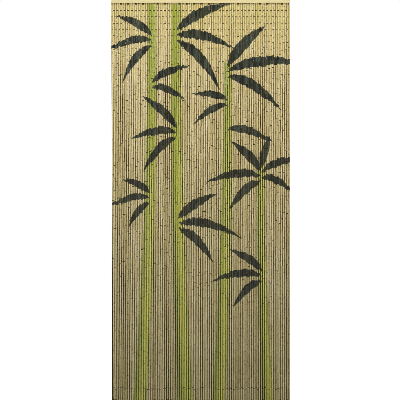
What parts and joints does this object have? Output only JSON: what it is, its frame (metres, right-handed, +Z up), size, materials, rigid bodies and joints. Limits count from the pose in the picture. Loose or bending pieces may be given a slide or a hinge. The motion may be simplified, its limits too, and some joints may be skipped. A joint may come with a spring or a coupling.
{
  "type": "bamboo bead door curtain with wooden hanging rail",
  "caption": "Doorway curtain of hanging bamboo bead strands fixed in a row under a plain wooden rail, which goes against the lintel.",
  "frame": {"origin": "middle of the rail's back face", "axes": "+Z up, the strands hang along -Z; +Y out of the rail's back, towards the lintel; the painted front looks along -Y"},
  "size_m": [0.9, 0.012, 2.0198],
  "materials": {
    "rail_wood": "planed pale wood, matt",
    "bamboo": "natural bamboo tubes, satin, painted on the front"
  },
  "bodies": {
    "root": {"rail": "rail_wood", "strand_row": "bamboo"}
  },
  "joints": []
}
